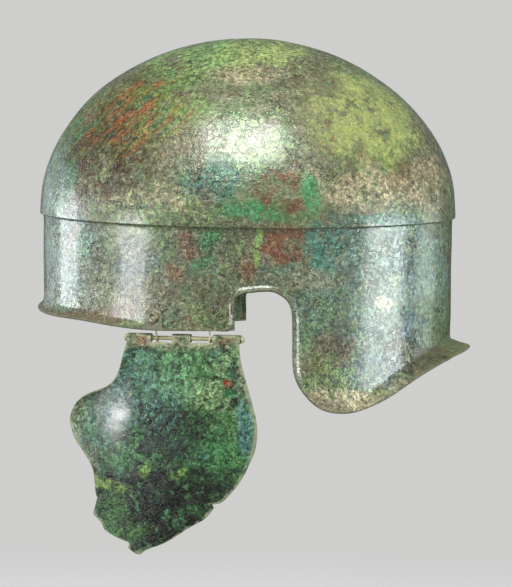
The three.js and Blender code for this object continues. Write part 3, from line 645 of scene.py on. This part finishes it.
def finish_bronze(w, place, shader, colour, calm, waxed, edge, rough, metal, relief, ior):
    """Grain over the colour, worn edges lightened partly as a painted highlight, painted shade in hollows, an
    inside painted paler partly as painted light, and shine that follows them.
    """
    grain = w.group(GRAIN, Place=place, Calm=calm)
    shade = w.add("ShaderNodeCombineColor", Red=grain["Shade"], Green=grain["Shade"], Blue=grain["Shade"])
    colour = w.mix(1.0, colour, shade.outputs[0], "MULTIPLY")
    inside = w.add("ShaderNodeAttribute", {"attribute_name": "inside"}).outputs["Fac"]
    # the inside gets a pale crusty coat, partly painted light on the inner wall
    inside_colour_and_light = w.mix(w.ramp(w.noise(place, 0.011, 4, 0.7), 0.42, 0.58), INSIDE_CRUST_AND_LIGHT, INSIDE_GREEN_AND_LIGHT)
    colour = w.mix(inside, colour, w.mix(1.0, inside_colour_and_light, shade.outputs[0], "MULTIPLY"))
    rim = w.add("ShaderNodeAttribute", {"attribute_name": "rim"}).outputs["Fac"]
    lip = w.ramp(rim, 0.0, 0.6)
    band = w.math("MULTIPLY", lip, w.ramp(w.noise(place, 0.005, 3, 0.6), 0.36, 0.54))
    colour = w.mix(w.math("MULTIPLY", band, 0.7), colour, edge)
    standing = w.add("ShaderNodeAttribute", {"attribute_name": "standing"}).outputs["Fac"]
    # raised points are lightened: worn metal, partly a painted highlight
    rubbed_and_highlight = w.math("MULTIPLY", w.ramp(standing, 0.03, 0.16), w.ramp(grain["Dullness"], 0.36, 0.56))
    colour = w.mix(w.math("MULTIPLY", rubbed_and_highlight, 0.75), colour, RUBBED_METAL_AND_HIGHLIGHT)
    # painted shade: the hollows are darkened towards DARK
    hollow_shade = w.ramp(standing, -0.02, -0.07)
    colour = w.mix(w.math("MULTIPLY", hollow_shade, 0.8), colour, DARK)
    w.put(shader.inputs["Base Color"], colour)
    cloudy = w.ramp(w.noise(place, 0.013, 4, 0.7), 0.36, 0.66)
    dull = w.math("MULTIPLY_ADD", inside, 0.25, w.math("MULTIPLY_ADD", hollow_shade, 0.2, rough))
    dull = w.math("MULTIPLY_ADD", cloudy, 0.13, dull)
    dull = w.math("MULTIPLY_ADD", lip, 0.20, w.math("MULTIPLY_ADD", waxed, -0.14, dull))
    w.put(shader.inputs["Roughness"], w.math("MULTIPLY_ADD", grain["Dullness"], 0.24, dull))
    bare = w.math("MULTIPLY_ADD", w.ramp(grain["Shade"], 0.3, 0.9), metal, w.math("MULTIPLY", rubbed_and_highlight, 0.4))
    w.put(shader.inputs["Metallic"], bare)
    bump = w.add("ShaderNodeBump", Height=grain["Height"], Distance=relief * MM, Strength=1.0)
    w.put(shader.inputs["Normal"], bump.outputs[0])
    w.put(shader.inputs["Coat Weight"], w.math("MULTIPLY", waxed, w.math("SUBTRACT", 1.0, lip)))
    shader.inputs["IOR"].default_value = ior
    shader.inputs["Coat Roughness"].default_value = WAX_ROUGHNESS


# colour, size in mm, cover, strength
BOWL_SPECKS = (
    (DARK, 3.0, 0.24, 0.70),
    (CREAM, 2.0, 0.26, 0.70),
    (PALE_GREEN, 3.0, 0.12, 0.75),
    (DARK, 1.7, 0.34, 0.70),
    (CREAM, 1.4, 0.20, 0.85),
)

# colour, size in mm, threshold, softness, strength
BOWL_CLOUDS = (
    (SILT, 16, 0.50, 0.10, 0.65),
    (GRASS, 11, 0.58, 0.06, 0.40),
    (BROWN, 7, 0.57, 0.06, 0.60),
    (TEAL, 9, 0.60, 0.06, 0.50),
    (SILT, 3.0, 0.58, 0.05, 0.50),
)
BOWL_LATE_CLOUDS = (
    (RED_BROWN, 5.5, 0.63, 0.04, 0.60),
    (EMERALD, 4.5, 0.64, 0.04, 0.60),
    (DARK, 3.6, 0.62, 0.04, 0.60),
)

# stains of shine instead of colour: x, y, z, reach along x, reach along z, turn, strength
EARTHY_ZONE = (-74, -46, -56, 48, 36, 20, 0.9)
CLEAN_ZONE = (60, -55, -42, 50, 34, 24, 0.8)
SHINY_ZONE = (-10, -76, -50, 34, 26, 0, 0.45)
SMOOTH_ZONE = (18, -88, -92, 36, 18, 0, 0.6)
BOWL_WAX = 0.42
BOWL_FINISH = dict(edge=(0.078, 0.072, 0.036), rough=0.16, metal=0.20, relief=0.60, ior=1.55)
CLOUD_SHIFT = (0.7, 0.2, 0.5)


def bowl_material():
    material, w, place, shader = bronze_material("bowl_patina")
    colour = patina(w, place, BOWL_STAINS, BOWL_CLOUDS, OLIVE, LEAF, BROWN)
    colour = clouded(w, w.vector("ADD", place, CLOUD_SHIFT), colour, BOWL_LATE_CLOUDS)
    colour = streaked(w, place, colour, BOWL_STREAKS)
    earthy = stain_mask(w, place, *EARTHY_ZONE)
    colour = speckled(w, place, colour, BOWL_SPECKS, earthy)
    clean = stain_mask(w, place, *CLEAN_ZONE)
    shiny = stain_mask(w, place, *SHINY_ZONE)
    smooth = stain_mask(w, place, *SMOOTH_ZONE)
    calm = w.math("MAXIMUM", w.math("MAXIMUM", clean, shiny), smooth)
    waxed = w.math("MULTIPLY", w.math("SUBTRACT", 1.0, earthy), BOWL_WAX)
    finish_bronze(w, place, shader, colour, calm, waxed, **BOWL_FINISH)
    return material


BOWL_PATINA = bowl_material()
print("bowl patina:", len(BOWL_PATINA.node_tree.nodes), "nodes")

# %% [markdown]
# ## Patina of the cheek-piece
# The cheek-piece lay differently in the ground, so it is darker: teal and green with
# black-brown clouds, yellow-green accents low down and a rusty spot near its rear edge.

# %% Patina of the cheek-piece
MOSS = (0.050, 0.140, 0.048)
CHEEK_STAINS = (
    ("teal top", (0.080, 0.190, 0.140), -52, -80, -184, 28, 18, 0, 0.7),
    ("green top", (0.115, 0.240, 0.105), -26, -86, -178, 32, 14, 0, 0.8),
    ("leaf top right", (0.175, 0.255, 0.115), -12, -88, -186, 20, 18, 0, 0.8),
    ("blue front", (0.06, 0.12, 0.12), -60, -76, -190, 10, 22, -30, 0.6),
    ("moss right", (0.055, 0.160, 0.058), -10, -88, -212, 22, 18, 0, 0.85),
    ("leaf right", LEAF, -4, -88, -204, 12, 12, 0, 0.5),
    ("grey front lobe", (0.19, 0.22, 0.135), -90, -62, -204, 9, 26, 0, 0.85),
    ("teal lobe", (0.08, 0.19, 0.14), -80, -66, -206, 8, 18, 0, 0.7),
    # pale grey on the front lobe, partly patina and partly a painted highlight
    ("pale lobe with painted highlight", (0.17, 0.19, 0.18), -72, -70, -196, 10, 16, 10, 0.7),
    ("pale hinge edge", (0.20, 0.21, 0.12), -31, -82, -162, 44, 5.5, 0, 0.9),
    ("pink hinge end", (0.24, 0.14, 0.09), -51, -76, -161, 8, 4.5, 0, 0.7),
    ("pink hinge rear", (0.22, 0.14, 0.09), -12, -88, -161, 6, 3.5, 0, 0.6),
    ("dark heart", (0.020, 0.026, 0.022), -38, -83, -212, 19, 19, 10, 0.85),
    ("dark band", (0.015, 0.018, 0.013), -44, -80, -240, 46, 11, 3, 1.3),
    ("grey neck", (0.10, 0.10, 0.075), -84, -66, -222, 10, 7, -40, 0.6),
    ("dark tip", (0.008, 0.011, 0.008), -38, -80, -260, 44, 18, -24, 1.7),
    ("yellow accent one", (0.14, 0.25, 0.05), -52, -79, -231, 3.6, 5.4, -30, 0.85),
    ("yellow accent two", (0.13, 0.24, 0.05), -34, -84, -232, 6.0, 2.4, 35, 0.8),
    ("yellow accent three", (0.14, 0.24, 0.05), -71, -70, -240, 12, 3.6, -12, 0.95),
    ("moss low", (0.050, 0.120, 0.036), -66, -72, -253, 9, 8, 0, 0.85),
    ("moss tip", (0.058, 0.120, 0.036), -60, -76, -264, 13, 5, 10, 0.8),
    ("rust spot", (0.22, 0.058, 0.032), -8, -90, -184, 3.4, 2.4, 0, 1.0),
    ("rust shade", EMERALD, -7, -90, -188.5, 3.2, 2.4, 0, 1.0),
    ("blue rear", (0.09, 0.20, 0.19), 1, -87, -206, 5, 22, 8, 0.7),
    ("pale rear rim", (0.22, 0.23, 0.14), 3, -86, -182, 6, 18, 10, 0.7),
)
CHEEK_CLOUDS = (
    (MOSS, 17, 0.50, 0.06, 0.80),
    (TEAL, 12, 0.56, 0.05, 0.60),
    (DARK, 9, 0.55, 0.05, 0.80),
    (LEAF, 7, 0.60, 0.05, 0.60),
)
CHEEK_LATE_CLOUDS = (
    (DARK, 5.5, 0.57, 0.04, 0.80),
    (MOSS, 4.0, 0.58, 0.04, 0.70),
    (RED_BROWN, 5.0, 0.66, 0.04, 0.50),
    (YELLOW_GREEN, 3.4, 0.68, 0.03, 0.55),
    (DARK, 2.6, 0.60, 0.04, 0.80),
)
CHEEK_SPECKS = (
    (DARK, 1.6, 0.42, 0.85),
    (LEAF, 1.5, 0.26, 0.60),
)
# name, colour, x, y, z, reach along x, reach along z, turn, streak length, streak width, cover
CHEEK_STREAKS = (
    ("teal strokes", (0.06, 0.16, 0.13), -56, -78, -196, 34, 26, 62, 16, 3, 0.55),
    ("pale strokes", (0.13, 0.19, 0.14), -46, -80, -188, 26, 24, 55, 12, 1.8, 0.34),
)

CHEEK_GROUND = (0.030, 0.050, 0.026)
CHEEK_LIGHT = (0.036, 0.088, 0.045)
# x, y, z, reach along x, reach along z, turn, strength
LOW_ZONE = (-40, -78, -256, 46, 22, 0, 0.8)
WAXED_ZONE = (-73, -66, -197, 14, 26, 0, 0.9)
CHEEK_FINISH = dict(edge=(0.23, 0.26, 0.15), rough=0.10, metal=0.05, relief=0.45, ior=1.33)
CHEEK_WAX_IOR = 1.75


def cheek_material():
    material, w, place, shader = bronze_material("cheek_patina")
    colour = patina(w, place, CHEEK_STAINS, CHEEK_CLOUDS, CHEEK_GROUND, CHEEK_LIGHT, DARK)
    colour = clouded(w, w.vector("ADD", place, CLOUD_SHIFT), colour, CHEEK_LATE_CLOUDS)
    colour = streaked(w, place, colour, CHEEK_STREAKS)
    colour = speckled(w, place, colour, CHEEK_SPECKS, stain_mask(w, place, *LOW_ZONE))
    waxed = stain_mask(w, place, *WAXED_ZONE)
    finish_bronze(w, place, shader, colour, 0.0, waxed, **CHEEK_FINISH)
    shader.inputs["Coat IOR"].default_value = CHEEK_WAX_IOR
    return material


CHEEK_PATINA = cheek_material()
print("cheek patina:", len(CHEEK_PATINA.node_tree.nodes), "nodes")

# %% [markdown]
# ## Small metal
# The plate remains are pale and crusty, the rivet is worn, and the wires and pin are
# dull bronze. One function makes them all from two colours and a size of mottle.

# %% Small metal


def small_metal(name, first, second, mottle, metal, rough):
    material, w, place, shader = bronze_material(name)
    share = w.ramp(w.noise(place, mottle, 4, 0.65), 0.38, 0.60)
    colour = speckled(w, place, w.mix(share, first, second), ((CREAM, mottle / MM * 0.5, 0.30, 0.6),))
    pits = w.group(SPECKS, Place=place, Size=mottle * 0.35, Cover=0.3)["Mask"]
    w.put(shader.inputs["Base Color"], w.mix(w.math("MULTIPLY", pits, 0.6), colour, DARK))
    w.put(shader.inputs["Roughness"], w.math("MULTIPLY_ADD", share, 0.2, rough))
    w.put(shader.inputs["Metallic"], w.math("MULTIPLY_ADD", share, -0.2, metal))
    bump = w.add("ShaderNodeBump", Height=w.noise(place, mottle * 0.4, 4, 0.7), Distance=0.0002, Strength=0.7)
    w.put(shader.inputs["Normal"], bump.outputs[0])
    return material


PLATE_CRUST = small_metal("plate_crust", (0.160, 0.135, 0.090), (0.065, 0.090, 0.048), 0.0024, 0.2, 0.32)
RIVET_METAL = small_metal("rivet_metal", (0.060, 0.058, 0.036), (0.26, 0.24, 0.16), 0.0016, 0.5, 0.28)
WIRE_METAL = small_metal("wire_metal", (0.48, 0.42, 0.29), (0.34, 0.30, 0.20), 0.002, 0.4, 0.35)
PIN_METAL = small_metal("pin_metal", (0.44, 0.39, 0.21), (0.24, 0.26, 0.14), 0.004, 0.25, 0.4)
print("small metals: 4")

# %% [markdown]
# ## Beaten sheet
# The bowl and the cheek-piece are sheet, raised over a stake with a hammer. Their solids
# are faceted, so each is copied, its loose triangles are merged into quads and rounded
# with a Subdivision Surface. Rounding pulls a form in, so the rough points are first
# pushed out until the rounded sheet goes through the places they had. Then every point
# is moved a little: slow waves from handling and burial, and small facets from the
# hammer. The same push goes to both faces of the sheet, so it keeps its thickness.
# Sharp corners of the outline, such as a broken edge, are creased, so they stay sharp.
# Last, each point learns how far it stands out, how near a rim it lies and whether it is
# on the inside. The shader lightens what stands out as worn metal and partly as a painted
# highlight, darkens the hollows as painted shade, and paints the inside a paler crusty coat,
# partly as painted light.

# %% Beaten sheet
# lengths in metres; the rest are angles, shares and counts
WELD = 0.01 * MM
FLAT_PAIR = math.radians(60)
SQUARE_PAIR = math.radians(80)
CORNER = math.radians(55)
ACROSS_SHEET = 0.7
SHEET_EDGE = 0.9 * MM
ROLL_DEPTH = 3 * MM
ROLL_END = 0.95
ROLL_CREASE = 0.8
ROUNDING_LEVELS = 2
ROUNDING_PASSES = 3
BROAD_WAVE = 0.45 * MM
HAMMER_MARK = 0.12 * MM
LONG_SWELL = 0.055
SHORT_SWELL = 0.022
SHORT_SHARE = 0.6
HAMMER_CELL = 0.009
WEAR_BLURS = 2
RIM_STEPS = 6
RIM_LEAN = 0.5
INSIDE_LEAN = -0.15
# all rims lie lower than this, and the step under the ridge is no rim
RIM_TOP = -0.115


def merged_copy(node):
    form = bmesh.new()
    form.from_mesh(frame["nodes"][node].data)
    bmesh.ops.remove_doubles(form, verts=form.verts, dist=WELD)
    bmesh.ops.join_triangles(
        form, faces=form.faces, angle_face_threshold=FLAT_PAIR, angle_shape_threshold=SQUARE_PAIR)
    return form


def keep_corners(form, outward, end_axis=None):
    """Creases the edges that cross the sheet at a sharp corner, and the round ends of a roll."""
    form.normal_update()
    along = form.edges.layers.float.new("crease_edge")
    at = form.verts.layers.float.new("crease_vert")
    kept = 0
    for edge in form.edges:
        if len(edge.link_faces) != 2 or edge.calc_face_angle() < CORNER:
            continue
        ends = [vertex.co for vertex in edge.verts]
        crossing = abs((ends[1] - ends[0]).normalized().dot(outward(ends[0]).normalized())) > ACROSS_SHEET
        if crossing and edge.calc_length() > SHEET_EDGE:
            edge[along] = 1.0
            for vertex in edge.verts:
                vertex[at] = 1.0
            kept += 1
        elif end_axis and ends[0].z > hinge_centre.z - ROLL_DEPTH:
            if any(abs(face.normal.dot(end_axis)) > ROLL_END for face in edge.link_faces):
                edge[along] = ROLL_CREASE
                kept += 1
    print("  sharp edges kept:", kept)
    return form


def rounded_mesh(name, form):
    """Rounds the form with a Subdivision Surface that still goes through all its points."""
    mesh = bpy.data.meshes.new(name)
    form.to_mesh(mesh)
    form.free()
    holder = new_object(name + "_rough", mesh)
    smooth = holder.modifiers.new("round", "SUBSURF")
    smooth.levels = ROUNDING_LEVELS
    smooth.render_levels = ROUNDING_LEVELS
    goals = [vertex.co.copy() for vertex in mesh.vertices]
    for left in range(ROUNDING_PASSES, -1, -1):
        mesh.update()
        bpy.context.view_layer.update()
        depsgraph = bpy.context.evaluated_depsgraph_get()
        shaped = bpy.data.meshes.new_from_object(holder.evaluated_get(depsgraph))
        if left == 0:
            break
        for vertex, goal, reached in zip(mesh.vertices, goals, shaped.vertices):
            vertex.co += goal - reached.co
        bpy.data.meshes.remove(shaped)
    bpy.data.objects.remove(holder)
    shaped.name = name
    return shaped


def hammered(point, seed):
    """How far the sheet is pushed out at a point, in metres."""
    at = point + Vector((seed, 0, 0))
    wave = noise.noise(at / LONG_SWELL) + SHORT_SHARE * noise.noise(at / SHORT_SWELL)
    cells = noise.voronoi(at / HAMMER_CELL)[0][0]
    return BROAD_WAVE * wave + HAMMER_MARK * (0.5 - cells)


def store(mesh, name, values):
    """Keeps one number per point on the mesh, where the shader can read it."""
    layer = mesh.attributes.new(name, "FLOAT", "POINT")
    layer.data.foreach_set("value", values)


def mark_wear_and_shade(mesh, outward, rim_width):
    """Marks what stands out (above 0), what lies in a hollow (below 0), the rims and the inside."""
    points = [vertex.co.copy() for vertex in mesh.vertices]
    normals = [vertex.normal.copy() for vertex in mesh.vertices]
    lean = [Vector() for _ in points]
    length = [0.0] * len(points)
    pairs = [tuple(edge.vertices) for edge in mesh.edges]
    for a, b in pairs:
        way = points[b] - points[a]
        lean[a] += way
        lean[b] -= way
        length[a] += way.length
        length[b] += way.length
    standing = [-n.dot(way) / max(size, 1e-9) for n, way, size in zip(normals, lean, length)]
    for _ in range(WEAR_BLURS):
        total = list(standing)
        count = [1] * len(points)
        for a, b in pairs:
            total[a] += standing[b]
            total[b] += standing[a]
            count[a] += 1
            count[b] += 1
        standing = [value / number for value, number in zip(total, count)]
    rim = [float(p.z < RIM_TOP and abs(n.dot(outward(p).normalized())) < RIM_LEAN)
           for n, p in zip(normals, points)]
    for _ in range(RIM_STEPS):
        wider = list(rim)
        for a, b in pairs:
            step = (points[a] - points[b]).length / rim_width
            wider[a] = max(wider[a], rim[b] - step)
            wider[b] = max(wider[b], rim[a] - step)
        rim = wider
    store(mesh, "standing", standing)
    store(mesh, "rim", rim)
    store(mesh, "inside", [float(n.dot(outward(p)) < INSIDE_LEAN) for n, p in zip(normals, points)])
    print("  standing from", round(min(standing), 2), "to", round(max(standing), 2))


def sheet_piece(name, node, material, outward, seed, rim_width, end_axis=None):
    """Rounded and hammered copy of a node's solid, which takes the node's place."""
    mesh = rounded_mesh(name, keep_corners(merged_copy(node), outward, end_axis))
    mark_wear_and_shade(mesh, outward, rim_width)
    for vertex in mesh.vertices:
        vertex.co += outward(vertex.co) * hammered(vertex.co, seed)
    mesh.materials.clear()
    mesh.materials.append(material)
    mesh.shade_smooth()
    piece = new_object(name, mesh)
    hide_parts(node)
    print(name, len(mesh.vertices), "points,", len(mesh.polygons), "faces")
    return piece


RIDGE_LEVEL = -0.1
DOME_REACH = Vector((0.114, 0.092, 0.1))


def bowl_outward(point):
    """Away from the bowl's middle: level on the wall, square to the dome above it."""
    height = max(0.0, point.z - RIDGE_LEVEL)
    way = Vector((point.x / DOME_REACH.x ** 2, point.y / DOME_REACH.y ** 2, height / DOME_REACH.z ** 2))
    return way.normalized()


BOWL_SEED = 3.0
BOWL_RIM = 5 * MM
bowl = sheet_piece("bowl_sheet", "helmet_bowl", BOWL_PATINA, bowl_outward, BOWL_SEED, BOWL_RIM)
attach(bowl, "helmet")

# %% Beaten cheek-piece
KNUCKLE_REACH = 0.004
KNUCKLE_FADE = 0.01
LEAST_PUSH = 0.001
CHEEK_SEED = 9.0
CHEEK_RIM = 3.2 * MM
cheek_out = Vector((0, 0, 1)).cross(hinge_axis).normalized()
if cheek_out.y > 0:
    cheek_out.negate()


def cheek_outward(point):
    """Outward on the plate, and nothing on the rolled knuckles that turn on the pin."""
    below = (hinge_centre.z - point.z - KNUCKLE_REACH) / KNUCKLE_FADE
    return cheek_out * min(max(below, LEAST_PUSH), 1.0)


cheek = sheet_piece(
    "cheek_sheet", "cheek_piece", CHEEK_PATINA, cheek_outward, CHEEK_SEED, CHEEK_RIM, hinge_axis)
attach(cheek, "cheek")

# %% [markdown]
# ## Hinge fittings
# The plate, rivet, stud, wires and pin are small, and their solids already have the
# right shape, so they keep it and only take the small metals made above.

# %% Hinge fittings
for node, material in (("hinge_plate", PLATE_CRUST), ("hinge_rivet", RIVET_METAL), ("wire_stud", RIVET_METAL),
                       ("wire_front", WIRE_METAL), ("wire_rear", WIRE_METAL), ("hinge_pin", PIN_METAL)):
    part = frame["nodes"][node]
    for slot in part.material_slots:
        slot.material = material
print("fittings dressed")
